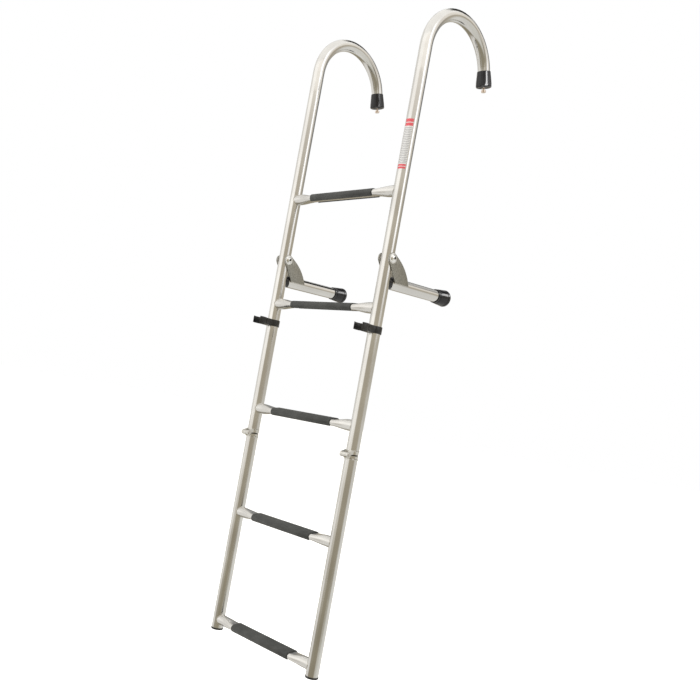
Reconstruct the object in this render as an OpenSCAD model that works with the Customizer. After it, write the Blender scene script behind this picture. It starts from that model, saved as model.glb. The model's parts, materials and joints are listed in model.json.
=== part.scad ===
// Hook-over boat boarding ladder: two bent rails, five rungs with treads, a folding lower
// section, two storage clips and two fold-up standoffs that rest on the hull.
// Origin: midway between the hooks, on the inside of their crowns, where the ladder hangs.
// +Z up, +Y towards the boat, X along the rungs.

/* [Rails] */
// Outer diameter of the rail and standoff tube
rail_d = 25; // [22:0.5:28]
// Wall thickness of the tubes
rail_wall = 1.5; // [1.2:0.1:2]
// Distance between the two rail axes
rail_gap = 300; // [260:5:360]
// Radius of the hook bend at the tube axis
hook_r = 95; // [80:1:110]
// How far round the hook bends, in degrees
hook_bend = 164.5; // [158:0.5:172]

/* [Rungs] */
// Outer diameter of the rung tube where it meets the rails
rung_d = 22; // [20:0.5:24]
// Drop from the hook seat to the first rung
first_rung_drop = 365.5; // [320:0.5:420]
// Spacing of the upper rungs
upper_pitch = 229; // [220:1:250]
// Spacing across the hinge
hinge_pitch = 226; // [215:1:250]
// Spacing of the lower rungs
lower_pitch = 235; // [220:1:250]
// Thickness of the flattened middle of a rung
flat_t = 12.5; // [11.5:0.5:15]
// How far the flattened middle leans forward, in degrees
rung_lean = 9; // [0:1:15]
// Length of a tread along the rung
tread_l = 176; // [150:2:190]
// Thickness of a tread's plastic
tread_t = 1.6; // [1.4:0.1:2.4]

/* [Fold hinge] */
// Drop from the third rung to the hinge pin
hinge_drop = 55; // [48:1:70]
// Distance of the hinge pin in front of the rail axis
pin_offset = 18.5; // [18:0.5:21]
// Radius of the hinge knuckles
knuckle_r = 4.9; // [4.5:0.1:5.8]
// Width of the whole hinge barrel
barrel_w = 21; // [19:0.5:24]

/* [Storage clips] */
// Drop from the second rung to the middle of the clip
clip_drop = 42.5; // [35:0.5:60]
// Height of the clip
clip_h = 14; // [9:0.5:16]
// Wall thickness of the clip
clip_wall = 1.8; // [1.6:0.1:2.6]

/* [Standoffs] */
// Drop from the hook seat to the standoff pivot
pivot_drop = 497.7; // [470:0.1:530]
// Drop from the pivot to the standoff tube, at the rail axis
arm_drop = 44.4; // [40:0.1:50]
// Upward slope of the standoff tube, in degrees
arm_slope = 2.8; // [1:0.1:5]
// Distance from the rail axis to the end of the rubber tip
arm_reach = 193.5; // [170:0.5:195]

/* [Hidden] */
$fn = 64;

LEFT = -1;
RIGHT = 1;
rail_r = rail_d / 2;
bore_r = rail_r - rail_wall;
rung_r = rung_d / 2;
rail_y = -hook_r;                 // Y of both straight rails
bend_z = rail_r - hook_r;         // height where the hooks start to bend
rung_z = [-first_rung_drop,
          -first_rung_drop - upper_pitch,
          -first_rung_drop - 2 * upper_pitch,
          -first_rung_drop - 2 * upper_pitch - hinge_pitch,
          -first_rung_drop - 2 * upper_pitch - hinge_pitch - lower_pitch];
hinge_z = rung_z[2] - hinge_drop;
clip_z = rung_z[1] - clip_drop;
pivot_z = -pivot_drop;
foot_z = rung_z[4] - 18.3;        // bottom of the tube at the foot
running = 0.05;                   // radial clearance of a pin that turns
gap = 0.3;                        // clearance between parts that pass each other
touch = 0.02;                     // clearance between parts fixed to each other

steel = [0.78, 0.77, 0.75];
charcoal = [0.22, 0.23, 0.22];
black = [0.06, 0.06, 0.065];
pale_brass = [0.80, 0.70, 0.58];
label_grey = [0.82, 0.83, 0.84];

// Moves a part built round a rail's own axis to the rail on the given side
module at_rail(side, z = 0) {
    translate([side * rail_gap / 2, rail_y, z]) children();
}

// Moves a part built along +Z to the end of the hook
module at_hook_end() {
    translate([0, hook_r, bend_z]) rotate([-hook_bend, 0, 0]) translate([0, -hook_r, 0]) children();
}

module tube(r_out, r_in, length) {
    difference() {
        cylinder(r = r_out, h = length);
        translate([0, 0, -1]) cylinder(r = r_in, h = length + 2);
    }
}

// Rod or tube that follows the hook's bend, from the start of the bend through the given angle
module bent(angle) {
    translate([0, hook_r, 0]) rotate([90, 0, -90]) rotate_extrude(angle = angle)
        translate([hook_r, 0]) children();
}

// Straight rail and hook in one bent tube, cross-drilled for the standoff pivot
collar_h = 9;                     // visible height of a hinge fitting's collar
module upper_rail(side) {
    low = hinge_z + gap / 2 + collar_h;
    color(steel) at_rail(side) difference() {
        union() {
            translate([0, 0, low]) tube(rail_r, bore_r, bend_z - low);
            translate([0, 0, bend_z]) bent(hook_bend) difference() {
                circle(r = rail_r);
                circle(r = bore_r);
            }
        }
        translate([-rail_d, 0, pivot_z]) rotate([0, 90, 0]) cylinder(r = barrel_r + running, h = 2 * rail_d);
    }
}

module lower_rail(side) {
    high = hinge_z - gap / 2 - collar_h;
    color(steel) at_rail(side, foot_z) tube(rail_r, bore_r, high - foot_z);
}

// Rung: round tube at the rails, pressed flat in the middle, coped to both rails
flat_l = tread_l + 4;             // length of the flattened stretch
half_flat = PI * (rung_d - flat_t) / 4;   // half the flat's straight part: the girth stays the same
rung_wall = 1.2;
press_l = 40;                     // length of each transition from round to flat

// Moves a part built along X, round a rung's own axis, into place
module at_rung(index) {
    translate([0, rail_y, rung_z[index]]) rotate([rung_lean, 0, 0]) children();
}

// Flat oval of the given inset from the outside of the flattened middle
module oval(inset) {
    r = flat_t / 2 - inset;
    translate([-half_flat, 0]) circle(r = r);
    translate([half_flat, 0]) circle(r = r);
    square([2 * half_flat, 2 * r], center = true);
}

// Solid of the rung at the given inset, longer by spare at each end
module rung_form(inset, spare) {
    round_l = rail_gap / 2 - flat_l / 2 - press_l + spare;
    rotate([90, 0, 90]) linear_extrude(height = flat_l, center = true) oval(inset);
    for (end = [0, 180]) rotate([0, 0, end]) translate([flat_l / 2, 0, 0]) {
        hull() {
            rotate([90, 0, 90]) linear_extrude(height = 0.01) oval(inset);
            translate([press_l, 0, 0]) rotate([0, 90, 0]) cylinder(r = rung_r - inset, h = 0.01, $fn = 48);
        }
        translate([press_l, 0, 0]) rotate([0, 90, 0]) cylinder(r = rung_r - inset, h = round_l);
    }
}

module rung(index) {
    color(steel) difference() {
        at_rung(index) difference() {
            rung_form(0, 0);
            rung_form(rung_wall, 1);
        }
        for (side = [LEFT, RIGHT]) at_rail(side, rung_z[index] - rail_d)
            cylinder(r = rail_r + touch, h = 2 * rail_d);
    }
}

// Tread: a C-section that wraps the flat of the rung, with fine ribs along its top
tread_mouth = 10.5;               // half width of the opening along its underside
rib_r = 0.55;
rib_out = 0.3;                    // how far a rib stands out
rib_pitch = 2.5;
module tread_section() {
    difference() {
        oval(-tread_t);
        oval(-touch);
        translate([-tread_mouth, -flat_t]) square([2 * tread_mouth, flat_t]);
    }
    for (i = [-3:3]) translate([i * rib_pitch, flat_t / 2 + tread_t + rib_out - rib_r])
        circle(r = rib_r, $fn = 16);
}

module tread(index) {
    color(charcoal) at_rung(index) rotate([90, 0, 90])
        linear_extrude(height = tread_l, center = true) tread_section();
}

// End cap of a hook: a flared cap with a tapered plug in the tube, which stands on the deck
cap_l = 32;                       // length of the part that shows
cap_over = 2;                     // how far it reaches back over the tube
cap_top_r = rail_r + 1.3;
cap_low_r = rail_r + 4.1;
cap_rim = 2.5;                    // rounding of the lower rim
cap_end = cap_l - cap_over;
cap_dish = 1.2;                   // depth of the ring pressed into its lower face
plug_l = 12;                      // length of the plug in the tube
plug_slack = 0.15;                // radial clearance of the plug at the tube's end
plug_taper = 1.05;                // how much it narrows, so that it clears the bend
collar_slack = 0.1;               // radial clearance round the outside of the bent tube
module hook_cap(side) {
    straight = cap_end - cap_rim;
    collar_r = rail_r + collar_slack;
    plug_r0 = bore_r - plug_slack;
    color(black) at_rail(side) at_hook_end() difference() {
        rotate_extrude() {
            polygon([[0, -plug_l], [plug_r0 - plug_taper, -plug_l], [plug_r0, touch], [collar_r, touch],
                     [collar_r, -cap_over], [cap_top_r, -cap_over], [cap_low_r, straight - 2],
                     [cap_low_r, straight], [0, straight]]);
            translate([0, straight]) square([cap_low_r - cap_rim, cap_rim]);
            translate([cap_low_r - cap_rim, straight]) intersection() {
                circle(r = cap_rim);
                square(cap_rim);
            }
        }
        translate([0, 0, cap_end - stud_in]) cylinder(r = stud_neck_r + running, h = 2 * stud_in);
        translate([0, 0, cap_end - cap_dish]) tube(cap_low_r - cap_rim - 2, stud_head_r + 2, 2 * cap_dish);
    }
}

// Locating stud below a hook cap, which drops into a deck socket
stud_in = 9;                      // depth of its neck in the cap
stud_neck_r = 2.3;
stud_head_r = 4.8;
stud_out = 9.5;                   // how far it stands out of the cap
stud_head_t = 5;
stud_bevel = 0.8;
module deck_stud(side) {
    color(pale_brass) at_rail(side) at_hook_end() translate([0, 0, cap_end]) {
        translate([0, 0, gap - stud_in]) cylinder(r = stud_neck_r, h = stud_in + stud_out - stud_head_t);
        translate([0, 0, stud_out - stud_head_t]) cylinder(r = stud_head_r, h = stud_head_t - stud_bevel);
        translate([0, 0, stud_out - stud_bevel])
            cylinder(r1 = stud_head_r, r2 = stud_head_r - stud_bevel, h = stud_bevel);
    }
}

// Foot plug: a disc below the tube, rounded at its lower edge, and a spigot inside it
plug_t = 4.2;
plug_r = rail_r + 0.5;
plug_round = 1.4;
plug_in = 15;                     // length of the spigot
module foot_plug(side) {
    color(black) at_rail(side, foot_z) {
        translate([0, 0, -plug_t - touch]) rotate_extrude() {
            translate([0, plug_round]) square([plug_r, plug_t - plug_round]);
            square([plug_r - plug_round, plug_t]);
            translate([plug_r - plug_round, plug_round]) intersection() {
                circle(r = plug_round, $fn = 24);
                translate([0, -plug_round]) square(plug_round);
            }
        }
        translate([0, 0, -1]) cylinder(r = bore_r - running, h = plug_in + 1);
    }
}

// Fold hinge: two ears on the upper rail's fitting, one tongue on the lower rail's
pin_r = 3;
tongue_w = barrel_w * 0.42;
ear_w = (barrel_w - tongue_w) / 2 - gap;

// One knuckle with its web, from x0 over the given width; up is 1 or -1
module knuckle(x0, width, up) {
    translate([x0, 0, 0]) rotate([90, 0, 90]) linear_extrude(height = width) {
        translate([-pin_offset, 0]) circle(r = knuckle_r);
        polygon([[-pin_offset, up * gap / 2], [-pin_offset, up * knuckle_r],
                 [-rail_r + 3, up * collar_h], [-rail_r + 5, up * collar_h],
                 [-rail_r + 5, up * gap / 2]]);
    }
}

// Collar with a bevelled joint face and a flange that the tube butts on, and the spigot inside the tube
flange_r = rail_r + 0.8;
flange_z = 6.4;                   // where the flange starts, from the joint
bevel = 1.2;
spigot_l = 24;                    // how far the spigot goes into the tube
module hinge_collar(up) {
    top = collar_h - 2 * touch;
    mirror([0, 0, up > 0 ? 0 : 1]) translate([0, 0, gap / 2]) {
        rotate_extrude() polygon([[0, 0], [rail_r - bevel, 0], [rail_r, bevel], [rail_r, flange_z],
            [flange_r, flange_z + 0.8], [flange_r, top - 0.6], [flange_r - 0.6, top], [0, top]]);
        cylinder(r = bore_r - running, h = collar_h + spigot_l);
    }
}

module pin_bore() {
    translate([-barrel_w, -pin_offset, 0]) rotate([0, 90, 0]) cylinder(r = pin_r + running, h = 2 * barrel_w);
}

module upper_hinge(side) {
    color(steel) at_rail(side, hinge_z) difference() {
        union() {
            hinge_collar(1);
            knuckle(-barrel_w / 2, ear_w, 1);
            knuckle(barrel_w / 2 - ear_w, ear_w, 1);
        }
        pin_bore();
    }
}

module lower_hinge(side) {
    color(steel) at_rail(side, hinge_z) difference() {
        union() {
            hinge_collar(-1);
            knuckle(-tongue_w / 2, tongue_w, -1);
        }
        pin_bore();
    }
}

module hinge_pins() {
    color(steel) for (side = [LEFT, RIGHT]) at_rail(side, hinge_z) translate([0, -pin_offset, 0])
        rotate([0, 90, 0]) {
            cylinder(r = pin_r, h = barrel_w + 1, center = true);
            for (end = [0, 180]) rotate([0, end, 0]) translate([0, 0, barrel_w / 2 + 0.1])
                cylinder(r1 = pin_r + 0.8, r2 = pin_r + 0.2, h = 0.9);
        }
}

// Storage clip: a collar on the upper rail and a springy jaw that holds the folded rail
jaw_r = rail_r + gap;
jaw_y = -2 * pin_offset;          // centre of the jaw, from the rail axis
jaw_tip = 8.5;                    // how far the jaw's tips reach past its centre
module storage_clip(side) {
    color(black) at_rail(side, clip_z) translate([0, 0, -clip_h / 2]) linear_extrude(height = clip_h)
        difference() {
            union() {
                circle(r = rail_r + running + clip_wall);
                translate([0, jaw_y]) difference() {
                    circle(r = jaw_r + clip_wall);
                    translate([-2 * rail_r, -3 * rail_r - jaw_tip]) square([4 * rail_r, 3 * rail_r]);
                }
                translate([-rail_r + 2, jaw_y + 6]) square([rail_d - 4, -jaw_y - 12]);
                for (edge = [-1, 1]) translate([edge * lip_x, jaw_y - jaw_tip]) circle(r = clip_wall / 2, $fn = 24);
            }
            circle(r = rail_r + running);
            translate([0, jaw_y]) circle(r = jaw_r);
        }
}
lip_x = sqrt(pow(jaw_r + clip_wall / 2, 2) - pow(jaw_tip, 2));

// Standoff: a tube that two curved plates hang from the rail, with a saddle and a rubber tip
barrel_r = 5;
plate_t = 2;
plate_in = rail_r + gap;          // inner face of a plate, from the rail axis
saddle_r = 19;                    // outer radius of the saddle round the rail axis
tip_l = 37.5;
tip_grip = 24;                    // how far the tube goes into the tip
tip_round = 6;                    // rounding of the pad's edge
arm_end = arm_reach - tip_l + tip_grip;

// Moves a part built along +Z from the rail axis onto the standoff tube's axis
module on_arm(side) {
    at_rail(side, pivot_z - arm_drop) rotate([arm_slope - 90, 0, 0]) children();
}

module around_rail(side, r) {
    at_rail(side, pivot_z - 3 * rail_d) translate([0, 0, -rail_d]) cylinder(r = r, h = 6 * rail_d);
}

module standoff_tube(side) {
    color(steel) difference() {
        on_arm(side) tube(rail_r, bore_r, arm_end);
        around_rail(side, saddle_r + touch);
    }
}

module standoff_saddle(side) {
    color(black) difference() {
        union() {
            on_arm(side) cylinder(r = bore_r - running, h = saddle_r + 14);
            intersection() {
                on_arm(side) cylinder(r = rail_r - 0.3, h = 2 * rail_r);
                around_rail(side, saddle_r);
            }
        }
        around_rail(side, rail_r + gap);
    }
}

// Outline of a plate in Y and Z from the pivot: a round boss and a fin with a curved back
boss_r = 11;
back_r = 89.4;                    // radius of the fin's curved back
back_centre = [-25, -76];
back_low = 22.7;                  // where the back meets the standoff tube, in degrees
back_top = 61;                    // where it runs straight on to the boss
fin_toe = [18, 1 - arm_drop];     // front corner of the fin
boss_front = 220;                 // where the front edge leaves the boss, in degrees
fin_join = back_centre + back_r * [cos(back_top), sin(back_top)];
boss_back = atan2(fin_join[1], fin_join[0]) + acos(boss_r / norm(fin_join));

// Points of an arc from angle a to angle b
function arc(centre, r, a, b, steps) =
    [for (i = [0:steps]) centre + r * [cos(a + (b - a) * i / steps), sin(a + (b - a) * i / steps)]];

module plate_outline() {
    polygon(concat(arc([0, 0], boss_r, boss_back, boss_front, 36), [fin_toe],
                   arc(back_centre, back_r, back_low, back_top, 18)));
}

module standoff_plates(side) {
    color(steel) at_rail(side, pivot_z) for (face = [plate_in, -plate_in - plate_t])
        translate([face, 0, 0]) rotate([90, 0, 90]) linear_extrude(height = plate_t) difference() {
            plate_outline();
            circle(r = barrel_r + running);
        }
}

// Rubber tip: a bell that grips the tube and flares to a rounded pad
tip_rim_r = rail_r + 1.7;
tip_low_r = rail_r + 4.5;
module standoff_tip(side) {
    flare = tip_l - tip_round;
    color(black) on_arm(side) translate([0, 0, arm_reach - tip_l]) rotate_extrude() difference() {
        union() {
            polygon([[0, 0], [tip_rim_r, 0], [tip_rim_r + 0.9, 10], [tip_low_r - 0.8, 24],
                     [tip_low_r, flare], [0, flare]]);
            square([tip_low_r - tip_round, tip_l]);
            translate([tip_low_r - tip_round, flare]) intersection() {
                circle(r = tip_round);
                square(tip_round);
            }
        }
        translate([-1, -1]) square([rail_r + touch + 1, tip_grip + 1 + touch]);
    }
}

// Pivot: a barrel nut through the plates and the rail, a screw in it and a washer at each end
washer_t = 0.8;
head_r = 7.5;
head_t = 4;
dome_r = 1.03 * (head_r * head_r + head_t * head_t) / (2 * head_t);
socket_r = 2.3;                   // hexagon socket, across its corners
socket_deep = 2.4;
washer_x = plate_in + plate_t + 0.1;
head_x = washer_x + washer_t;
module dome_head() {
    rotate_extrude() intersection() {
        translate([0, head_t - dome_r]) circle(r = dome_r);
        square([head_r, head_t]);
    }
}

module pivot_barrels() {
    color(steel) for (side = [LEFT, RIGHT]) at_rail(side, pivot_z) rotate([0, 90, 0]) {
        translate([0, 0, -head_x]) tube(barrel_r, screw_r + running, 2 * head_x - 0.1);
        translate([0, 0, -head_x]) rotate([180, 0, 0]) dome_head();
    }
}

screw_r = 3;
screw_start = 6;                  // how deep the blind end of the barrel is
module pivot_screws() {
    color(steel) for (side = [LEFT, RIGHT]) at_rail(side, pivot_z) rotate([0, 90, 0]) difference() {
        union() {
            translate([0, 0, screw_start - head_x]) cylinder(r = screw_r, h = 2 * head_x - screw_start);
            translate([0, 0, head_x]) dome_head();
        }
        translate([0, 0, head_x + head_t - socket_deep]) cylinder(r = socket_r, h = 2 * socket_deep, $fn = 6);
    }
}

module pivot_washers() {
    color(black) for (side = [LEFT, RIGHT]) at_rail(side, pivot_z) for (x = [-head_x, washer_x])
        translate([x, 0, 0]) rotate([0, 90, 0]) tube(head_r + 0.6, barrel_r + running, washer_t - 0.05);
}

// Plain sticker round part of the right rail
label_h = 97;
label_z = -326.5;                 // bottom of the sticker
label_start = -112;               // where its left edge lies round the rail, in degrees
label_turn = 78;                  // how far it goes round, in degrees
label_t = 0.2;
module rail_label() {
    color(label_grey) at_rail(RIGHT, label_z) rotate([0, 0, label_start]) rotate_extrude(angle = label_turn)
        translate([rail_r + touch, 0]) square([label_t, label_h]);
}

upper_rail(LEFT);  // left_upper_rail
upper_rail(RIGHT);  // right_upper_rail
rung(0);  // rung_1
rung(1);  // rung_2
rung(2);  // rung_3
rung(3);  // rung_4
rung(4);  // rung_5
tread(0);  // tread_1
tread(1);  // tread_2
tread(2);  // tread_3
tread(3);  // tread_4
tread(4);  // tread_5
lower_rail(LEFT);  // left_lower_rail
lower_rail(RIGHT);  // right_lower_rail
hook_cap(LEFT);  // left_hook_cap
hook_cap(RIGHT);  // right_hook_cap
deck_stud(LEFT);  // left_deck_stud
deck_stud(RIGHT);  // right_deck_stud
foot_plug(LEFT);  // left_foot_plug
foot_plug(RIGHT);  // right_foot_plug
upper_hinge(LEFT);  // left_upper_hinge
upper_hinge(RIGHT);  // right_upper_hinge
lower_hinge(LEFT);  // left_lower_hinge
lower_hinge(RIGHT);  // right_lower_hinge
hinge_pins();
storage_clip(LEFT);  // left_storage_clip
storage_clip(RIGHT);  // right_storage_clip
standoff_tube(LEFT);  // left_standoff_tube
standoff_tube(RIGHT);  // right_standoff_tube
standoff_plates(LEFT);  // left_standoff_plates
standoff_plates(RIGHT);  // right_standoff_plates
standoff_saddle(LEFT);  // left_standoff_saddle
standoff_saddle(RIGHT);  // right_standoff_saddle
standoff_tip(LEFT);  // left_standoff_tip
standoff_tip(RIGHT);  // right_standoff_tip
pivot_barrels();
pivot_screws();
pivot_washers();
rail_label();
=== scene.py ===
import json
import math

import bpy
from mathutils import Matrix, Vector
from mathutils.geometry import tessellate_polygon


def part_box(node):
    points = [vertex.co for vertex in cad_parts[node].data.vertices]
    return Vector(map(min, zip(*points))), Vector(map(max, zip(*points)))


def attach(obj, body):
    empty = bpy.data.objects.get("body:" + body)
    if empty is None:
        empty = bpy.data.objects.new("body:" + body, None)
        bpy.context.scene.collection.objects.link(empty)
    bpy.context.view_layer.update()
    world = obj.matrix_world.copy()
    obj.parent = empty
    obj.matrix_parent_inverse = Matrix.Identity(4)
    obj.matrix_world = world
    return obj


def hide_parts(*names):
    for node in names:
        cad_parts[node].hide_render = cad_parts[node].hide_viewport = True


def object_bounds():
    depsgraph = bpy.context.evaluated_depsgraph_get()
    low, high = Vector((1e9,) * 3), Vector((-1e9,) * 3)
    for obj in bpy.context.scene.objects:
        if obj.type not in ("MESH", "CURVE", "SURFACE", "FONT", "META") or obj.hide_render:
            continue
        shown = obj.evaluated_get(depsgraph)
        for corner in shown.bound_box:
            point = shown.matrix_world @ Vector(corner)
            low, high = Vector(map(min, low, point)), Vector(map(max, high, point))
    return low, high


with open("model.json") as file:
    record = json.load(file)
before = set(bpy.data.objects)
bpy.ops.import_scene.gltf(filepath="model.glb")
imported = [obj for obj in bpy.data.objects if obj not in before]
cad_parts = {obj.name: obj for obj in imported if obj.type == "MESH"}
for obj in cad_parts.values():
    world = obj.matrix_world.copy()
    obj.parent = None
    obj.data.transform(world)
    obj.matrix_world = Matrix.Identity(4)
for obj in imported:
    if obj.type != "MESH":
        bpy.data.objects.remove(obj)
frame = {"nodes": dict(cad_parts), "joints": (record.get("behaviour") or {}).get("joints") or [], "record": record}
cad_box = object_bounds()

NODES = frame["nodes"]
BODIES = frame["record"]["behaviour"]["bodies"]
JOINTS = {joint["name"]: joint for joint in frame["joints"]}
MOUNTS = {mount["name"]: mount for mount in frame["record"]["mounts"]}
SIDES = ("left", "right")
MM = 0.001

# ---------------------------------------------------------------- places, from the frame


def middle(node):
    """Centre of a CAD node's box."""
    low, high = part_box(node)
    return (low + high) / 2


def body_of_node(node):
    """Name of the body that a CAD node belongs to."""
    return next(body for body, members in BODIES.items() if node in members)


RAIL = {side: middle(f"{side}_lower_rail") for side in SIDES}
RAIL_R = (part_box("left_lower_rail")[1].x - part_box("left_lower_rail")[0].x) / 2
RAIL_Y = RAIL["left"].y
RUNGS = range(1, 6)
RUNG_Z = {i: middle(f"rung_{i}").z for i in RUNGS}
RUNG_R = (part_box("rung_1")[1].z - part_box("rung_1")[0].z) / 2
HINGE = Vector(JOINTS["lower_fold"]["pos_m"])
PIVOT = {side: Vector(JOINTS[f"{side}_standoff_fold"]["pos_m"]) for side in SIDES}
STUD = {side: Vector(MOUNTS[f"{side}_deck_stud"]["pos_m"]) for side in SIDES}
PAD = {side: Vector(MOUNTS[f"{side}_hull_pad"]["pos_m"]) for side in SIDES}
HOOK_DIR = Vector(MOUNTS["left_deck_stud"]["axis"]).normalized()
ARM_DIR = Vector(MOUNTS["left_hull_pad"]["axis"]).normalized()


# ---------------------------------------------------------------- mesh building


def new_object(name, vertices, faces, material, sharp=40):
    """A mesh object, smooth apart from edges sharper than the given angle in degrees."""
    mesh = bpy.data.meshes.new(name)
    mesh.from_pydata([tuple(v) for v in vertices], [], faces)
    mesh.validate()
    mesh.polygons.foreach_set("use_smooth", [True] * len(mesh.polygons))
    mesh.set_sharp_from_angle(angle=math.radians(sharp))
    mesh.materials.append(material)
    thing = bpy.data.objects.new(name, mesh)
    bpy.context.scene.collection.objects.link(thing)
    return thing


def add_piece(name, shape, material, body, replaced=(), sharp=40):
    """A piece of the object from (vertices, faces), riding on a body."""
    piece = new_object(name, *shape, material, sharp)
    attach(piece, body)
    if replaced:
        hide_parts(*replaced)
    return piece


def skin(rings, closed=False):
    """Quads between rings of points with equal counts; the ends are capped unless it closes on itself."""
    count = len(rings[0])
    vertices = [point for ring in rings for point in ring]
    faces = []
    for i in range(len(rings) if closed else len(rings) - 1):
        a, b = i * count, (i + 1) % len(rings) * count
        for j in range(count):
            k = (j + 1) % count
            faces.append((a + j, b + j, b + k, a + k))
    if not closed:
        faces.append(tuple(range(count)))
        faces.append(tuple(reversed(range(len(vertices) - count, len(vertices)))))
    return vertices, faces


def joined(shapes):
    """Several (vertices, faces) as one."""
    vertices, faces = [], []
    for points, polygons in shapes:
        start = len(vertices)
        vertices.extend(points)
        faces.extend(tuple(start + i for i in polygon) for polygon in polygons)
    return vertices, faces


def polar(radius, degrees):
    """X and Y of a point of a plane, from its distance and direction."""
    turn = math.radians(degrees)
    return radius * math.cos(turn), radius * math.sin(turn)


def arc(centre, radius, start, end, steps):
    """Points of an arc in a plane, angles in degrees."""
    offsets = [polar(radius, start + (end - start) * i / steps) for i in range(steps + 1)]
    return [(centre[0] + x, centre[1] + y) for x, y in offsets]


def frame_along(origin, direction):
    """Matrix that takes local +Z to a direction, with local X kept along world X."""
    z = direction.normalized()
    x = Vector((1, 0, 0))
    y = z.cross(x)
    return Matrix.Translation(origin) @ Matrix((x, y, z)).transposed().to_4x4()


def revolve(profile, place, steps=96, swell=None):
    """Turns a profile of (radius, height) points round local Z.

    swell(angle, radius, height) may give each point another radius and height."""
    shape = swell or (lambda angle, radius, height: (radius, height))
    vertices, faces, rows = [], [], []
    for radius, height in profile:
        row = []
        for i in range(steps if radius > 0 else 1):
            angle = 2 * math.pi * i / steps
            r, h = shape(angle, radius, height)
            row.append(len(vertices))
            vertices.append(place @ Vector((r * math.cos(angle), r * math.sin(angle), h)))
        rows.append(row)
    for low, high in zip(rows, rows[1:]):
        for i in range(steps):
            j = (i + 1) % steps
            if len(low) == 1:
                faces.append((low[0], high[i], high[j]))
            elif len(high) == 1:
                faces.append((low[i], high[0], low[j]))
            else:
                faces.append((low[i], high[i], high[j], low[j]))
    return vertices, faces


def inset(loop, amount):
    """A closed loop of 2-D points, counter-clockwise, moved inwards by an amount."""
    moved = []
    for i, point in enumerate(loop):
        before, after = Vector(loop[i - 1]), Vector(loop[(i + 1) % len(loop)])
        here = Vector(point)
        normals = []
        for a, b in ((before, here), (here, after)):
            run = (b - a).normalized()
            normals.append(Vector((-run.y, run.x)))
        normal = (normals[0] + normals[1]).normalized()
        moved.append(here + normal * (amount / max(0.5, normal.dot(normals[0]))))
    return moved


def slab(outline, holes, low, high, rounding, to_world, steps=3):
    """A flat plate between two heights, with rounded edges. outline and holes run counter-clockwise."""
    levels = []
    for i in range(steps + 1):
        turn = math.pi / 2 * (1 - i / steps)
        levels.append((low + rounding * (1 - math.sin(turn)), rounding * (1 - math.cos(turn))))
    levels += [(low + high - height, amount) for height, amount in reversed(levels)]
    vertices, faces, ends = [], [], ([], [])
    for sign, loop in [(1, outline)] + [(-1, hole) for hole in holes]:
        rings = []
        for height, amount in levels:
            start = len(vertices)
            vertices.extend(to_world(p[0], p[1], height) for p in inset(loop, sign * amount))
            rings.append(range(start, len(vertices)))
        for a, b in zip(rings, rings[1:]):
            for j in range(len(loop)):
                k = (j + 1) % len(loop)
                faces.append((a[j], a[k], b[k], b[j])[::sign])
        ends[0].append((inset(loop, sign * levels[0][1]), rings[0]))
        ends[1].append((inset(loop, sign * levels[-1][1]), rings[-1]))
    for order, end in zip((-1, 1), ends):
        ids = [i for _, ring in end for i in ring]
        for triangle in tessellate_polygon([[p.to_3d() for p in loop] for loop, _ in end]):
            faces.append(tuple(ids[i] for i in triangle[::order]))
    return vertices, faces


BEAD_RIPPLE = 0.10                # share of a weld bead's radius that its ripples rise and fall
OFF_PATH = Vector((0.31, 0.17, 0.93))   # a direction that no bead runs along


def bead(points, radius, pitch, closed=False, sides=10):
    """A weld bead: a rippled tube along a path."""
    count = len(points)
    rings, run = [], 0.0
    for i, point in enumerate(points):
        before = points[i - 1] if closed or i else point
        after = points[(i + 1) % count] if closed or i < count - 1 else point
        tangent = (after - before).normalized()
        across = tangent.cross(OFF_PATH).normalized()
        up = tangent.cross(across)
        size = radius * (1 + BEAD_RIPPLE * math.sin(2 * math.pi * run / pitch))
        turns = [2 * math.pi * j / sides for j in range(sides)]
        rings.append([point + (across * math.cos(t) + up * math.sin(t)) * size for t in turns])
        run += (after - point).length
    return skin(rings, closed)


# ---------------------------------------------------------------- node trees


def grey(tone):
    """A colour without tint."""
    return (tone, tone, tone)


class Nodes:
    """A node tree, with short calls for the nodes that the materials and the surroundings use."""

    def __init__(self, tree):
        self.tree = tree

    def add(self, kind, **settings):
        node = self.tree.nodes.new(f"ShaderNode{kind}")
        for key, value in settings.items():
            setattr(node, key, value)
        return node

    def plug(self, value, socket):
        """Puts a number, a colour or another node's output into a socket."""
        if isinstance(value, bpy.types.NodeSocket):
            self.tree.links.new(value, socket)
        elif isinstance(value, tuple) and socket.type == "RGBA":
            socket.default_value = (*value, 1)
        else:
            socket.default_value = value

    def math(self, operation, a, b=0.0):
        node = self.add("Math", operation=operation)
        for socket, value in zip(node.inputs, (a, b)):
            self.plug(value, socket)
        return node.outputs["Value"]

    def between(self, factor, low, high, start=0.3, end=0.7, kind="LINEAR"):
        """A factor that goes from low at start to high at end."""
        node = self.add("MapRange", interpolation_type=kind)
        named = {"Value": factor, "From Min": start, "From Max": end, "To Min": low, "To Max": high}
        for name, value in named.items():
            self.plug(value, node.inputs[name])
        return node.outputs["Result"]

    def blend(self, factor, colour, over):
        """A colour with another one laid over it where the factor is 1."""
        node = self.add("MixRGB")
        for socket, value in zip(node.inputs, (factor, colour, over)):
            self.plug(value, socket)
        return node.outputs["Color"]


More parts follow.
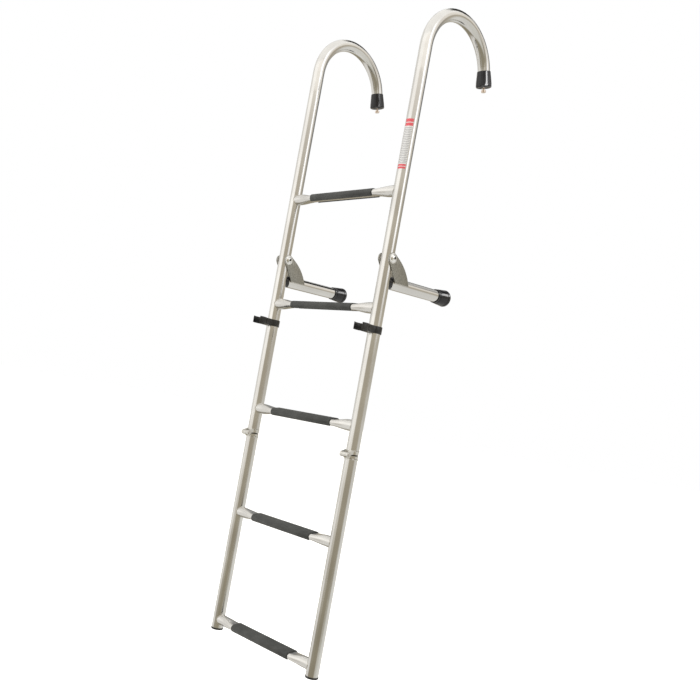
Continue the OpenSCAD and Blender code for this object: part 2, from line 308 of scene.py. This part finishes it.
class Material(Nodes):
    """A new material, with its textures placed in the object's own frame."""

    def __init__(self, name):
        self.material = bpy.data.materials.new(name)
        self.material.use_nodes = True
        super().__init__(self.material.node_tree)
        self.shader = self.tree.nodes["Principled BSDF"]
        self.place = self.add("TexCoord").outputs["Object"]

    def set(self, **values):
        """Sets the shader's own sockets, each to a constant or to another node's output."""
        for name, value in values.items():
            self.plug(value, self.shader.inputs[name.replace("_", " ")])

    def axes(self):
        """The place's X, Y and Z."""
        node = self.add("SeparateXYZ")
        self.plug(self.place, node.inputs["Vector"])
        return node.outputs

    def from_pivot(self):
        """Distance from the standoffs' pivot axis."""
        y, z = (self.math("SUBTRACT", self.axes()[i], PIVOT["left"][i]) for i in (1, 2))
        squares = self.math("ADD", self.math("MULTIPLY", y, y), self.math("MULTIPLY", z, z))
        return self.math("SQRT", squares)

    def noise(self, scale, detail=4.0, stretch=(1, 1, 1), rough=0.55):
        mapping = self.add("Mapping")
        self.plug(self.place, mapping.inputs["Vector"])
        self.plug(stretch, mapping.inputs["Scale"])
        node = self.add("TexNoise")
        self.plug(mapping.outputs["Vector"], node.inputs["Vector"])
        for name, value in (("Scale", scale), ("Detail", detail), ("Roughness", rough)):
            self.plug(value, node.inputs[name])
        return node.outputs["Fac"]

    def ramp(self, factor, stops, smooth=True):
        """A colour that changes with a factor, at stops of (position, colour)."""
        node = self.add("ValToRGB")
        node.color_ramp.interpolation = "EASE" if smooth else "CONSTANT"
        while len(node.color_ramp.elements) < len(stops):
            node.color_ramp.elements.new(0.5)
        for element, (position, colour) in zip(node.color_ramp.elements, stops):
            element.position = position
            element.color = (*colour, 1)
        self.plug(factor, node.inputs["Fac"])
        return node.outputs["Color"]

    def bump(self, height, strength, distance):
        node = self.add("Bump")
        for name, value in (("Height", height), ("Strength", strength), ("Distance", distance)):
            self.plug(value, node.inputs[name])
        self.set(Normal=node.outputs["Normal"])


# ---------------------------------------------------------------- materials

STEEL_DARK, STEEL_LIGHT = (0.67, 0.66, 0.645), (0.75, 0.745, 0.73)
EVEN, ALONG_X, ALONG_Y, ALONG_Z = (1, 1, 1), (0.04, 1, 1), (1, 0.04, 1), (1, 1, 0.04)
# colour of the shade painted into a hinge's joint and a screw's socket
PAINTED_SHADE = (0.10, 0.09, 0.08)
JOINT_SHADE = (0.5 * MM, 1.7 * MM)    # from a hinge's joint, where its painted shade thins and where it ends
SHADE_DEPTH = 2 * MM                  # over which a hinge's painted shade deepens, from the rail's front
SOCKET_SHADE = (2.2 * MM, 2.7 * MM)   # from a screw's axis, where its painted shade thins and where it ends
BOSS_HIGHLIGHT = (8.8 * MM, 10.8 * MM)   # from the pivot's axis, where the highlight painted on a boss fades
STRIPE_PITCH = 3.4 * MM
STRIPED = (0.11, 0.835)               # shares of the label's height between which it is striped


def steel(name, rough, grain, bump, dark=STEEL_DARK, light=STEEL_LIGHT, shade_mask=None):
    """Stainless steel with fine polishing lines, a slow change of shine and faint water marks.

    A mask function, if given, gives from 0 to 1 where shade is painted on."""
    n = Material(name)
    lines = n.noise(420, detail=3, stretch=grain)
    cloud = n.noise(16, detail=5)
    marks = n.noise(75, detail=6, rough=0.7)
    colour = n.ramp(cloud, [(0.3, dark), (0.72, light)])
    # painted shade laid over the steel's colour where the mask is 1
    if shade_mask:
        colour = n.blend(shade_mask(n), colour, PAINTED_SHADE)
    shine = n.math("ADD", n.between(lines, -0.035, 0.035), n.between(marks, 0.0, 0.05, 0.5, 0.75))
    shine = n.math("ADD", shine, n.between(cloud, rough - 0.02, rough + 0.03))
    n.set(Metallic=1.0, Base_Color=colour, Roughness=shine)
    n.bump(lines, bump, 0.1 * MM)
    return n.material


def plastic(name, dark, light, rough, grain, bump, scuff=0.0, ior=1.5):
    """Moulded plastic or rubber with a fine surface grain and paler handling marks."""
    n = Material(name)
    fine = n.noise(grain, detail=6)
    cloud = n.noise(35)
    scratches = n.noise(260, detail=3, stretch=(0.12, 1, 1), rough=0.7)
    wear = n.between(scratches, 0.0, scuff, 0.58, 0.8)
    shine = n.math("ADD", n.between(fine, rough - 0.04, rough + 0.04), wear)
    n.set(IOR=ior, Base_Color=n.ramp(cloud, [(0.3, dark), (0.75, light)]), Roughness=shine)
    n.bump(fine, bump, 0.3 * MM)
    return n.material


def blasted_plate():
    """Pressed plate with a bead-blasted face, in fine bright and dark speckle, and a highlight painted on its
    boss.
    """
    n = Material("plate_steel")
    speckle = n.noise(480, detail=2, rough=0.8)
    cloud = n.noise(40)
    dark, light, bright = (0.20, 0.20, 0.18), (0.36, 0.355, 0.325), (0.66, 0.65, 0.61)
    # pale tone painted on the boss as a highlight, fading outwards
    painted_highlight = (0.86, 0.86, 0.85)
    face = n.ramp(speckle, [(0.28, dark), (0.5, light), (0.78, bright)])
    boss = n.between(n.from_pivot(), 1.0, 0.0, *BOSS_HIGHLIGHT)
    shine = n.math("ADD", n.between(speckle, 0.44, 0.30), n.between(cloud, -0.04, 0.05))
    n.set(Metallic=1.0, Base_Color=n.blend(boss, face, painted_highlight), Roughness=shine)
    n.bump(speckle, 0.35, 0.2 * MM)
    return n.material


def brass():
    """Pale brass of the locating studs, a little tarnished."""
    n = Material("pale_brass")
    tarnish = n.noise(220, detail=5)
    colour = n.ramp(tarnish, [(0.35, (0.78, 0.64, 0.54)), (0.7, (0.95, 0.87, 0.80))])
    n.set(Metallic=1.0, Base_Color=colour, Roughness=n.between(tarnish, 0.34, 0.22))
    n.bump(n.noise(900, detail=2, stretch=(1, 1, 6)), 0.08, 0.2 * MM)
    return n.material


def label_film():
    """Silver film with plain red blocks at its ends and fine plain stripes between, and no lettering."""
    n = Material("label_film")
    low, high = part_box("rail_label")
    height = n.axes()["Z"]
    along = n.between(height, 0.0, 1.0, low.z, high.z)
    film, red, line = (0.62, 0.62, 0.61), (0.62, 0.10, 0.12), (0.36, 0.36, 0.37)
    # where each colour starts, as a share of the label's height
    ends = n.ramp(along, [(0.0, red), (0.036, film), (0.050, red), (0.088, film),
                          (0.855, red), (0.915, film), (0.930, red)], smooth=False)
    wave = n.math("SINE", n.math("MULTIPLY", height, 2 * math.pi / STRIPE_PITCH))
    lined = n.ramp(n.between(wave, 0.0, 1.0, -0.1, 0.5), [(0.0, film), (1.0, line)])
    after, before = n.math("GREATER_THAN", along, STRIPED[0]), n.math("LESS_THAN", along, STRIPED[1])
    striped = n.math("MULTIPLY", after, before)
    shine = n.between(n.noise(300, detail=3), 0.26, 0.36)
    n.set(Metallic=0.35, Base_Color=n.blend(striped, ends, lined), Roughness=shine)
    n.bump(n.noise(120, detail=3), 0.05, 0.4 * MM)
    return n.material


def joint_shade(n):
    """Painted shade in the joint between the two halves of a hinge, behind its knuckles."""
    off = n.math("ABSOLUTE", n.math("SUBTRACT", n.axes()["Z"], HINGE.z))
    front = RAIL_Y - RAIL_R
    behind = n.between(n.axes()["Y"], 0.0, 1.0, front, front + SHADE_DEPTH)
    return n.math("MULTIPLY", n.between(off, 1.0, 0.0, *JOINT_SHADE), behind)


def socket_shade(n):
    """Painted shade in the socket of a pivot screw."""
    return n.between(n.from_pivot(), 1.0, 0.0, *SOCKET_SHADE)


MATERIALS = {
    "rail": steel("rail_steel", rough=0.13, grain=ALONG_Z, bump=0.05),
    "rung": steel("rung_steel", rough=0.20, grain=ALONG_X, bump=0.08),
    "arm": steel("arm_steel", rough=0.10, grain=ALONG_Y, bump=0.05),
    # the hinge's joint gets painted shade
    "hinge": steel("hinge_steel", rough=0.13, grain=EVEN, bump=0.10,
                   dark=(0.66, 0.65, 0.62), light=(0.76, 0.75, 0.72), shade_mask=joint_shade),
    "pin": steel("pin_steel", rough=0.20, grain=EVEN, bump=0.10,
                 dark=(0.60, 0.58, 0.55), light=(0.72, 0.70, 0.67)),
    # the screws' sockets get painted shade
    "pivot": steel("pivot_steel", rough=0.22, grain=EVEN, bump=0.06,
                   dark=(0.86, 0.86, 0.85), light=(0.94, 0.94, 0.93), shade_mask=socket_shade),
    "plate": blasted_plate(),
    "weld": steel("weld_steel", rough=0.26, grain=EVEN, bump=0.20,
                  dark=(0.55, 0.53, 0.50), light=(0.72, 0.70, 0.66)),
    "tread": plastic("tread_plastic", (0.024, 0.026, 0.025), (0.044, 0.046, 0.044),
                     rough=0.50, grain=1500, bump=0.25, scuff=0.12),
    "clip": plastic("clip_plastic", grey(0.008), grey(0.015), rough=0.30, grain=1200, bump=0.15, scuff=0.1),
    "cap": plastic("cap_plastic", (0.005, 0.005, 0.006), (0.009, 0.009, 0.010),
                   rough=0.10, grain=700, bump=0.03, scuff=0.06, ior=1.45),
    "tip": plastic("tip_rubber", (0.005, 0.005, 0.006), (0.010, 0.010, 0.011),
                   rough=0.12, grain=900, bump=0.04, scuff=0.06, ior=1.45),
    "foot": plastic("foot_rubber", grey(0.012), grey(0.024), rough=0.48, grain=1100, bump=0.2, scuff=0.1),
    "washer": plastic("washer_plastic", (0.70, 0.70, 0.69), (0.80, 0.80, 0.79),
                      rough=0.40, grain=1200, bump=0.1),
    "stud": brass(),
    "label": label_film(),
}

NODE_MATERIAL = {"pivot_washers": "washer", "rail_label": "label", "hinge_pins": "pin",
                 "pivot_barrels": "pin", "pivot_screws": "pivot"}
SIDE_MATERIAL = {"upper_rail": "rail", "lower_rail": "rail", "standoff_tube": "arm", "upper_hinge": "hinge",
                 "lower_hinge": "hinge", "deck_stud": "stud", "foot_plug": "foot", "standoff_saddle": "tip",
                 "standoff_plates": "plate", "standoff_tip": "tip", "hook_cap": "cap", "storage_clip": "clip"}
for side in SIDES:
    for part, kind in SIDE_MATERIAL.items():
        NODE_MATERIAL[f"{side}_{part}"] = kind
for i in RUNGS:
    NODE_MATERIAL[f"rung_{i}"] = "rung"
    NODE_MATERIAL[f"tread_{i}"] = "tread"
for node, kind in NODE_MATERIAL.items():
    NODES[node].data.materials.clear()
    NODES[node].data.materials.append(MATERIALS[kind])


# ---------------------------------------------------------------- rungs and treads

FLAT_T = 12.5 * MM                # thickness of a rung's pressed middle
FLAT_R = FLAT_T / 2
HALF_FLAT = math.pi * (2 * RUNG_R - FLAT_T) / 4
LEAN = math.radians(9)            # the flats lean forward
PRESS_L = 40 * MM                 # length of the change from round to flat
PRESS_STEPS = 12
RUNG_SINK = 0.1 * MM              # how far a rung's coped ends go into the rails
TREAD_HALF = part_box("tread_1")[1].x
TREAD_T = 1.6 * MM
TREAD_GAP = 0.05 * MM             # between a tread and its rung
TREAD_EDGE = 0.5 * MM             # rounding of a tread's ends
MOUTH = 10.5 * MM                 # half width of the tread's opening below
FLAT_END = TREAD_HALF + 2 * MM
RIB_PITCH = 2.1 * MM
RIB_H = 0.32 * MM
RIB_LIFT = 0.25 * MM              # height of the ribs' crests over the plain face
RIBBED = 7.5 * RIB_PITCH          # half width of the ribbed top
OUTER_STEPS, INNER_STEPS = 200, 60


def at_rung(i, x, y, z):
    """A point given round a rung's axis, with the lean applied."""
    return Vector((x, RAIL_Y + y * math.cos(LEAN) - z * math.sin(LEAN),
                   RUNG_Z[i] + y * math.sin(LEAN) + z * math.cos(LEAN)))


def rung_section(roundness, steps=24):
    """Points of a rung's section, from a flat oval at 0 to a circle at 1."""
    points = []
    for half in (-1, 1):
        for step in range(steps + 1):
            angle = math.pi / 2 * half + math.pi * step / steps
            flat = (-HALF_FLAT * half + FLAT_R * math.cos(angle), FLAT_R * math.sin(angle))
            # the circle's points share out evenly, so that none of them double up
            turn = math.pi * half / 2 + math.pi * (step + 0.5) / (steps + 1)
            full = (RUNG_R * math.cos(turn), RUNG_R * math.sin(turn))
            points.append([f + (c - f) * roundness for f, c in zip(flat, full)])
    return points


def rung_shape(i):
    """A rung with its middle pressed flat and its ends coped to the rails."""
    half = [(0.0, 0.0), (FLAT_END * 0.6, 0.0)]
    for step in range(PRESS_STEPS + 1):
        share = step / PRESS_STEPS
        half.append((FLAT_END + PRESS_L * share, share * share * (3 - 2 * share)))
    stations = [(-x, r) for x, r in reversed(half[1:])] + half
    rings = [[at_rung(i, x, y, z) for y, z in rung_section(r)] for x, r in stations]
    for sign, where in ((-1, 0), (1, len(rings))):
        ring = []
        for y, z in rung_section(1):
            point = at_rung(i, 0, y, z)
            across = point.y - RAIL_Y
            point.x = sign * (RAIL["right"].x - math.sqrt(RAIL_R ** 2 - across ** 2) + RUNG_SINK)
            ring.append(point)
        rings.insert(where, ring)
    return skin(rings)


def tread_path(radius, mouth, steps, ribbed):
    """Points along one face of a tread's section, from lip to lip over the top."""
    lip = math.acos((mouth - HALF_FLAT) / radius)
    bend = radius * (lip + math.pi / 2)
    total = 2 * bend + 2 * HALF_FLAT
    path = []
    for step in range(steps + 1):
        run = total * step / steps
        if run < bend:
            base, angle = HALF_FLAT, run / radius - lip
        elif run < bend + 2 * HALF_FLAT:
            base, angle = HALF_FLAT - (run - bend), math.pi / 2
        else:
            base, angle = -HALF_FLAT, math.pi / 2 + (run - bend - 2 * HALF_FLAT) / radius
        reach = radius
        from_top = run - total / 2
        if ribbed and abs(from_top) < RIBBED:
            reach += RIB_H * (math.cos(2 * math.pi * from_top / RIB_PITCH) - 1) / 2 + RIB_LIFT
        path.append((base + reach * math.cos(angle), reach * math.sin(angle)))
    return path


def tread_section(shrink):
    """Points of a tread's C-section: over the outside, with its ribs, and back along the inside."""
    mouth = MOUTH + shrink
    outside = tread_path(FLAT_R + TREAD_T - shrink, mouth, OUTER_STEPS, True)
    inside = tread_path(FLAT_R + TREAD_GAP + shrink, mouth, INNER_STEPS, False)
    return outside + inside[::-1]


def tread_shape(i):
    """A tread, with its ends rounded in two steps."""
    half = [(TREAD_HALF - TREAD_EDGE, 0.0), (TREAD_HALF - TREAD_EDGE * 0.3, TREAD_EDGE * 0.45),
            (TREAD_HALF, TREAD_EDGE)]
    stations = [(-x, shrink) for x, shrink in reversed(half)] + half
    return skin([[at_rung(i, x, y, z) for y, z in tread_section(shrink)] for x, shrink in stations])


for i in RUNGS:
    body = body_of_node(f"rung_{i}")
    add_piece(f"rung_{i}_tube", rung_shape(i), MATERIALS["rung"], body, [f"rung_{i}"])
    add_piece(f"tread_{i}_cover", tread_shape(i), MATERIALS["tread"], body,
              [f"tread_{i}"], 60)


# ---------------------------------------------------------------- rung welds

RUNG_BEAD_R, RUNG_BEAD_PITCH, RUNG_BEAD_STEPS = 0.9 * MM, 1.9 * MM, 120


def rung_weld(i, side):
    """Path of the bead where a rung meets a rail."""
    sign = 1 if side == "right" else -1
    points = []
    for step in range(RUNG_BEAD_STEPS):
        angle = 2 * math.pi * step / RUNG_BEAD_STEPS
        y, z = RUNG_R * math.sin(angle), RUNG_R * math.cos(angle)
        x = RAIL[side].x - sign * math.sqrt(RAIL_R ** 2 - y * y)
        points.append(Vector((x, RAIL_Y + y, RUNG_Z[i] + z)))
    return points


for body, name in (("root", "upper_rung_welds"), ("lower_section", "lower_rung_welds")):
    paths = [rung_weld(i, side) for i in RUNGS if body_of_node(f"rung_{i}") == body for side in SIDES]
    shapes = [bead(path, RUNG_BEAD_R, RUNG_BEAD_PITCH, closed=True) for path in paths]
    add_piece(name, joined(shapes), MATERIALS["weld"], body)


# ---------------------------------------------------------------- standoffs

PLATE_T = 2 * MM
PLATE_IN = RAIL_R + 0.3 * MM      # inner face of a plate, from the rail's axis
PLATE_EDGE = 0.35 * MM            # rounding of a plate's edges
ARM_DROP = 44.4 * MM              # from the pivot to the arm's axis, at the rail
BOSS_R = 11 * MM
BARREL_R = 5.05 * MM
BACK_R = 89.4 * MM                # radius of the fin's curved back
BACK_CENTRE = Vector((-25, -76)) * MM
BACK_LOW, BACK_TOP = 22.7, 61     # directions of the back's two ends from its centre
BOSS_FRONT = 220                  # direction in which the boss ends and the front edge starts
FIN_TOE = (18 * MM, MM - ARM_DROP)
ARM_BEAD_R, ARM_BEAD_PITCH, ARM_BEAD_STEPS = 1.1 * MM, 2.2 * MM, 89
ARM_BEAD_OUT, ARM_BEAD_DROP = 0.4 * MM, 0.3 * MM   # from a plate's inner face, and from its lower edge


def plate_outline():
    """A fin's outline from the pivot: boss, front edge, toe, lower edge and curved back."""
    join = BACK_CENTRE + Vector(polar(BACK_R, BACK_TOP))
    leave = math.degrees(math.atan2(join.y, join.x) + math.acos(BOSS_R / join.length))
    return (arc((0, 0), BOSS_R, leave, BOSS_FRONT, 48) + [FIN_TOE]
            + arc(BACK_CENTRE, BACK_R, BACK_LOW, BACK_TOP, 36))


def standoff_plates(side):
    """The two fins of a standoff, one on each side of the rail."""
    def to_world(y, z, x):
        return PIVOT[side] + Vector((x, y, z))
    hole = arc((0, 0), BARREL_R, 0, 354, 59)
    return joined(slab(plate_outline(), [hole], low, low + PLATE_T, PLATE_EDGE, to_world)
                  for low in (PLATE_IN, -PLATE_IN - PLATE_T))


def plate_welds(side):
    """Beads along the lower edges of both plates, on the sides of the arm."""
    toe = Vector(FIN_TOE)
    heel = BACK_CENTRE + Vector(polar(BACK_R, BACK_LOW))
    shapes = []
    for sign in (1, -1):
        points = []
        for step in range(ARM_BEAD_STEPS + 1):
            y, z = toe.lerp(heel, step / ARM_BEAD_STEPS)
            points.append(PIVOT[side] + Vector((sign * (PLATE_IN + ARM_BEAD_OUT), y, z - ARM_BEAD_DROP)))
        shapes.append(bead(points, ARM_BEAD_R, ARM_BEAD_PITCH))
    return joined(shapes)


TIP_L = 37.5 * MM
# (radius, height) in millimetres: the mouth inside, its lip, the flare between two grooves, the rounded end
# and a ring on its face
TIP_PROFILE = [(0, 25), (12.55, 25), (12.55, 0.5), (12.9, 0.1), (13.6, 0), (14.0, 0.35), (14.15, 0.9),
               (14.2, 3.0), (13.95, 3.35), (13.95, 3.75), (14.3, 4.2), (15.0, 10), (15.7, 17), (16.2, 24),
               (16.5, 26.6), (16.2, 26.9), (16.2, 27.4), (16.6, 27.7), (16.85, 29.0), (17.0, 31.0),
               (16.85, 32.4), (16.45, 33.8), (15.75, 35.1), (14.7, 36.1), (13.3, 36.8), (11.6, 37.2),
               (10.2, 37.32), (9.9, 37.0), (9.6, 36.95), (9.3, 37.2), (9.0, 37.4), (5, 37.48), (0, 37.5)]


def standoff_tip(side):
    """The bell-shaped rubber tip at the end of an arm."""
    place = frame_along(PAD[side] - ARM_DIR * TIP_L, ARM_DIR)
    return revolve([(r * MM, h * MM) for r, h in TIP_PROFILE], place)


for side in SIDES:
    body = f"{side}_standoff"
    add_piece(f"{side}_standoff_fins", standoff_plates(side), MATERIALS["plate"], body,
              [f"{side}_standoff_plates"], 50)
    add_piece(f"{side}_standoff_welds", plate_welds(side), MATERIALS["weld"], body)
    add_piece(f"{side}_standoff_bell", standoff_tip(side), MATERIALS["tip"], body,
              [f"{side}_standoff_tip"], 50)


# ---------------------------------------------------------------- hook caps

CAP_END = 30 * MM                 # from the end of the bend to the cap's lower face
STUD_MIDDLE = 6.6 * MM            # from the cap's lower face to the stud's mount
# (radius, height) in millimetres: the mouth inside, its rolled lip, the flare, the lower rim and the dish
CAP_PROFILE = [(0, 0.3), (12.75, 0.3), (12.75, -1.6), (12.9, -1.95), (13.1, -2), (13.5, -1.85),
               (13.75, -1.4), (13.85, -0.5), (14.4, 5), (15.1, 12), (15.9, 20), (16.3, 24), (16.55, 26),
               (16.6, 27), (16.45, 28), (15.9, 29), (15.0, 29.6), (13.8, 29.95), (13.0, 29.9), (12.6, 29.3),
               (12.2, 28.9), (7.2, 28.9), (6.8, 29.3), (6.5, 29.9), (6.0, 30), (0, 30)]
LOBES = 6
LOBE_DEPTH = 0.7 * MM
LOBE_HEIGHTS = (22 * MM, 26 * MM)     # where the scallops start, and where they are full
LOBE_RADII = (13 * MM, 15 * MM)       # the same, outwards over the rim


def share_of(value, span):
    """How far a value is through a span, from 0 to 1."""
    return max(0.0, min(1.0, (value - span[0]) / (span[1] - span[0])))


def cap_lobes(angle, radius, height):
    """Six shallow scallops round the lower rim."""
    dip = math.sin(LOBES / 2 * angle) ** 2
    return radius - LOBE_DEPTH * dip * share_of(height, LOBE_HEIGHTS) * share_of(radius, LOBE_RADII), height


def hook_cap(side):
    """The flared cap on the end of a hook."""
    place = frame_along(STUD[side] - HOOK_DIR * (CAP_END + STUD_MIDDLE), HOOK_DIR)
    return revolve([(r * MM, h * MM) for r, h in CAP_PROFILE], place, 144, cap_lobes)


for side in SIDES:
    add_piece(f"{side}_hook_bung", hook_cap(side), MATERIALS["cap"], "root",
              [f"{side}_hook_cap"], 50)


# ---------------------------------------------------------------- storage clips

CLIP_WALL = 1.8 * MM
CLIP_R = RAIL_R + 0.05 * MM
CLIP_EDGE = 0.5 * MM              # rounding of a clip's edges
JAW_R = RAIL_R + 0.3 * MM
JAW_Y = 2 * (HINGE.y - RAIL_Y)    # from the rail's axis to where the folded rail's axis lies
JAW_TIP = 8.5 * MM                # how far the lips reach past the jaw's centre
WEB = RAIL_R - 2 * MM             # half width of the web between collar and jaw
LIP_GAP = 10                      # degrees that a lip's round end stops short, so that no points double up


def clip_outline():
    """A clip's outline from the rail's axis: collar, web, and a jaw with two rounded lips."""
    outer = JAW_R + CLIP_WALL
    lip_r = CLIP_WALL / 2
    lip_reach = JAW_R + lip_r
    droop = math.degrees(math.asin(JAW_TIP / lip_reach))
    spread = math.degrees(math.acos(WEB / outer))
    root = math.degrees(math.acos(WEB / (CLIP_R + CLIP_WALL)))
    centre = (0, JAW_Y)
    lip_x = lip_reach * math.cos(math.radians(droop))
    lips = {sign: (sign * lip_x, JAW_Y - JAW_TIP) for sign in (-1, 1)}
    return (arc((0, 0), CLIP_R + CLIP_WALL, -root, 180 + root, 72)
            + arc(centre, outer, 180 - spread, 180 + droop, 24)
            + arc(lips[-1], lip_r, 180 + LIP_GAP + droop, 360 - LIP_GAP + droop, 8)
            + arc(centre, JAW_R, 180 + droop, -droop, 72)
            + arc(lips[1], lip_r, 180 + LIP_GAP - droop, 360 - LIP_GAP - droop, 8)
            + arc(centre, outer, -droop, spread, 24))


def storage_clip(side):
    """A clip round the upper rail, whose open jaw takes the folded lower rail."""
    def to_world(x, y, z):
        return Vector((RAIL[side].x + x, RAIL_Y + y, z))
    low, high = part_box(f"{side}_storage_clip")
    hole = arc((0, 0), CLIP_R, 0, 355, 71)
    return slab(clip_outline(), [hole], low.z, high.z, CLIP_EDGE, to_world)


for side in SIDES:
    add_piece(f"{side}_clip_moulding", storage_clip(side), MATERIALS["clip"], "root",
              [f"{side}_storage_clip"], 50)


# ---------------------------------------------------------------- camera

YAW, PITCH, ROLL = math.radians(46.91), math.radians(0.96), math.radians(10.33)
CAMERA_PLACE = (1.2351, -1.2520, -0.8158)
SENSOR_MM, LENS_MM = 36, 42.8
SHIFT_X, SHIFT_Y = 0.062, 0.070


def make_camera():
    """The camera: its axes from yaw and pitch, then rolled about its line of sight."""
    forward = Vector((-math.sin(YAW) * math.cos(PITCH), math.cos(YAW) * math.cos(PITCH), math.sin(PITCH)))
    level = Vector((math.cos(YAW), math.sin(YAW), 0))
    above = level.cross(forward)
    right = level * math.cos(ROLL) + above * math.sin(ROLL)
    up = above * math.cos(ROLL) - level * math.sin(ROLL)
    data = bpy.data.cameras.new("camera")
    data.sensor_width = SENSOR_MM
    data.lens = LENS_MM
    data.shift_x = SHIFT_X
    data.shift_y = SHIFT_Y
    camera = bpy.data.objects.new("camera", data)
    turn = Matrix((right, up, -forward)).transposed().to_4x4()
    camera.matrix_world = Matrix.Translation(CAMERA_PLACE) @ turn
    bpy.context.scene.collection.objects.link(camera)
    return camera


bpy.context.scene.camera = make_camera()


# ---------------------------------------------------------------- floor, light and surroundings

FLOOR_Z = cad_box[0].z - 0.30
FLOOR_RADII = (1.5, 6, 24, 90)
FLOOR_GLOW = 0.45                 # the floor's own light, which keeps it white


def make_floor():
    """A pale round floor, well below the ladder, that doesn't show in the steel."""
    n = Material("floor_paint")
    paint = n.ramp(n.noise(3), [(0.3, grey(0.86)), (0.7, grey(0.90))])
    n.set(Base_Color=paint, Roughness=0.9, Emission_Color=grey(1), Emission_Strength=FLOOR_GLOW)
    rings = [[Vector((*polar(radius, turn), FLOOR_Z)) for turn in range(0, 360, 10)]
             for radius in FLOOR_RADII]
    vertices = [point for ring in rings for point in ring]
    count = len(rings[0])
    faces = [tuple(range(count))]
    for i in range(len(rings) - 1):
        for j in range(count):
            k = (j + 1) % count
            faces.append((i * count + j, (i + 1) * count + j, (i + 1) * count + k, i * count + k))
    floor = new_object("floor", vertices, faces, n.material)
    floor.visible_glossy = False


def make_light(name, place, target, size, power, reflected=False):
    """Soft rectangular light, out of the camera's sight, that shows in the steel only if it is reflected."""
    data = bpy.data.lights.new(name, "AREA")
    data.shape = "RECTANGLE"
    data.size, data.size_y = size
    data.energy = power
    light = bpy.data.objects.new(name, data)
    light.location = place
    light.rotation_euler = (Vector(target) - Vector(place)).to_track_quat("-Z", "Y").to_euler()
    light.visible_glossy = reflected
    light.visible_camera = False
    bpy.context.scene.collection.objects.link(light)
    return light


def make_card(name, target, toward, distance, size, radiance, piece):
    """Card near the object that lights only one piece, as a streak in its gloss."""
    place = target + Vector(toward).normalized() * distance
    power = math.pi * size[0] * size[1] * radiance
    card = make_light(name, place, target, size, power, reflected=True)
    lit = bpy.data.collections.new(f"{name}_pieces")
    lit.objects.link(piece)
    card.light_linking.receiver_collection = lit


def make_cards(side):
    """The cards round one hook and one standoff."""
    cap = bpy.data.objects[f"{side}_hook_bung"]
    tip = bpy.data.objects[f"{side}_standoff_bell"]
    glare = {"left": 4, "right": 18}[side]
    make_card(f"{side}_hook_card", STUD[side] - HOOK_DIR * 0.05, toward=(0.575, -0.817, 0.06), distance=0.25,
              size=(0.30, 0.12), radiance=0.25, piece=NODES[f"{side}_upper_rail"])
    make_card(f"{side}_cap_card", STUD[side], toward=(0.95, -0.22, 0.16), distance=0.60,
              size=(0.22, 0.60), radiance=glare, piece=cap)
    make_card(f"{side}_cap_under_card", STUD[side], toward=(0.2, -0.25, -1), distance=0.50,
              size=(0.5, 0.35), radiance=4, piece=cap)
    make_card(f"{side}_tip_card", PAD[side], toward=(0.62, 0.55, 0.56), distance=0.60,
              size=(0.50, 0.20), radiance=8, piece=tip)


def make_world():
    """A studio all round: softboxes as bright bands by compass direction, with greyer walls between."""
    world = bpy.data.worlds.new("studio")
    bpy.context.scene.world = world
    world.use_nodes = True
    n = Nodes(world.node_tree)
    n.tree.nodes.clear()
    split = n.add("SeparateXYZ")
    n.plug(n.add("TexCoord").outputs["Generated"], split.inputs[0])
    x, y, z = split.outputs
    flat = n.math("SQRT", n.math("ADD", n.math("MULTIPLY", x, x), n.math("MULTIPLY", y, y)))
    flat = n.math("MAXIMUM", flat, 0.001)

    def step(value, start, end):
        return n.between(value, 0.0, 1.0, start, end, "SMOOTHSTEP")

    def band(direction, half, soft):
        """1 in a band of compass directions, 0 outside it, in degrees."""
        a = math.radians(direction)
        toward = n.math("ADD", n.math("MULTIPLY", x, math.cos(a)), n.math("MULTIPLY", y, math.sin(a)))
        outside, inside = (math.cos(math.radians(max(0, edge))) for edge in (half + soft, half - soft))
        return step(n.math("DIVIDE", toward, flat), outside, inside)

    def rise(low, high):
        """0 below one height in degrees, 1 above another."""
        return step(z, math.sin(math.radians(low)), math.sin(math.radians(high)))

    def below(low, high):
        return n.math("SUBTRACT", 1.0, rise(low, high))

    def both(a, b):
        return n.math("MULTIPLY", a, b)

    layers = [
        # walls: paler upwards, then pale on the left, pale low down behind and on the right, dark high behind
        (rise(-16, 6), (0.51, 0.46, 0.365)),
        (rise(12, 25), (0.98, 0.93, 0.845)),
        (band(-160, 36, 12), (0.90, 0.88, 0.835)),
        (both(band(72, 50, 12), below(-9, 11)), (0.84, 0.83, 0.79)),
        (both(band(18, 30, 14), below(-20, -9)), (0.78, 0.77, 0.71)),
        (both(band(108, 44, 8), rise(9, 20)), (0.25, 0.25, 0.245)),
        # softboxes: a broad one in front, a narrower one on the right and a thin strip above it
        (both(band(-110, 31, 9), rise(-18, 8)), (1.29, 1.26, 1.20)),
        (both(band(12, 17, 9), rise(3, 14)), grey(1.38)),
        (both(band(9, 3, 3), rise(12, 18)), grey(2.4)),
        # ceiling, with a black flag over the far side
        (rise(36, 50), (1.15, 1.13, 1.08)),
        (both(band(98, 32, 4), both(rise(43, 46), below(64, 70))), grey(0.01)),
    ]
    colour = (0.34, 0.305, 0.225)     # low down all round
    for where, tone in layers:
        colour = n.blend(where, colour, tone)
    seen = n.add("LightPath").outputs["Is Camera Ray"]
    background = n.add("Background")
    n.plug(n.blend(seen, colour, grey(1)), background.inputs["Color"])
    n.plug(background.outputs[0], n.add("OutputWorld").inputs["Surface"])


make_floor()
make_world()
make_light("key", (-1.6, -2.6, 1.6), target=(0, 0, -0.7), size=(1.6, 1.6), power=30)
make_light("fill", (2.8, 0.6, 0.8), target=(0, 0, -0.6), size=(1.4, 1.4), power=15)
make_light("top", (0.3, 0.2, 2.6), target=(0, 0, -1.6), size=(3.0, 3.0), power=60)
for side in SIDES:
    make_cards(side)
bpy.context.scene.view_settings.view_transform = "Standard"
bpy.context.scene.view_settings.look = "None"
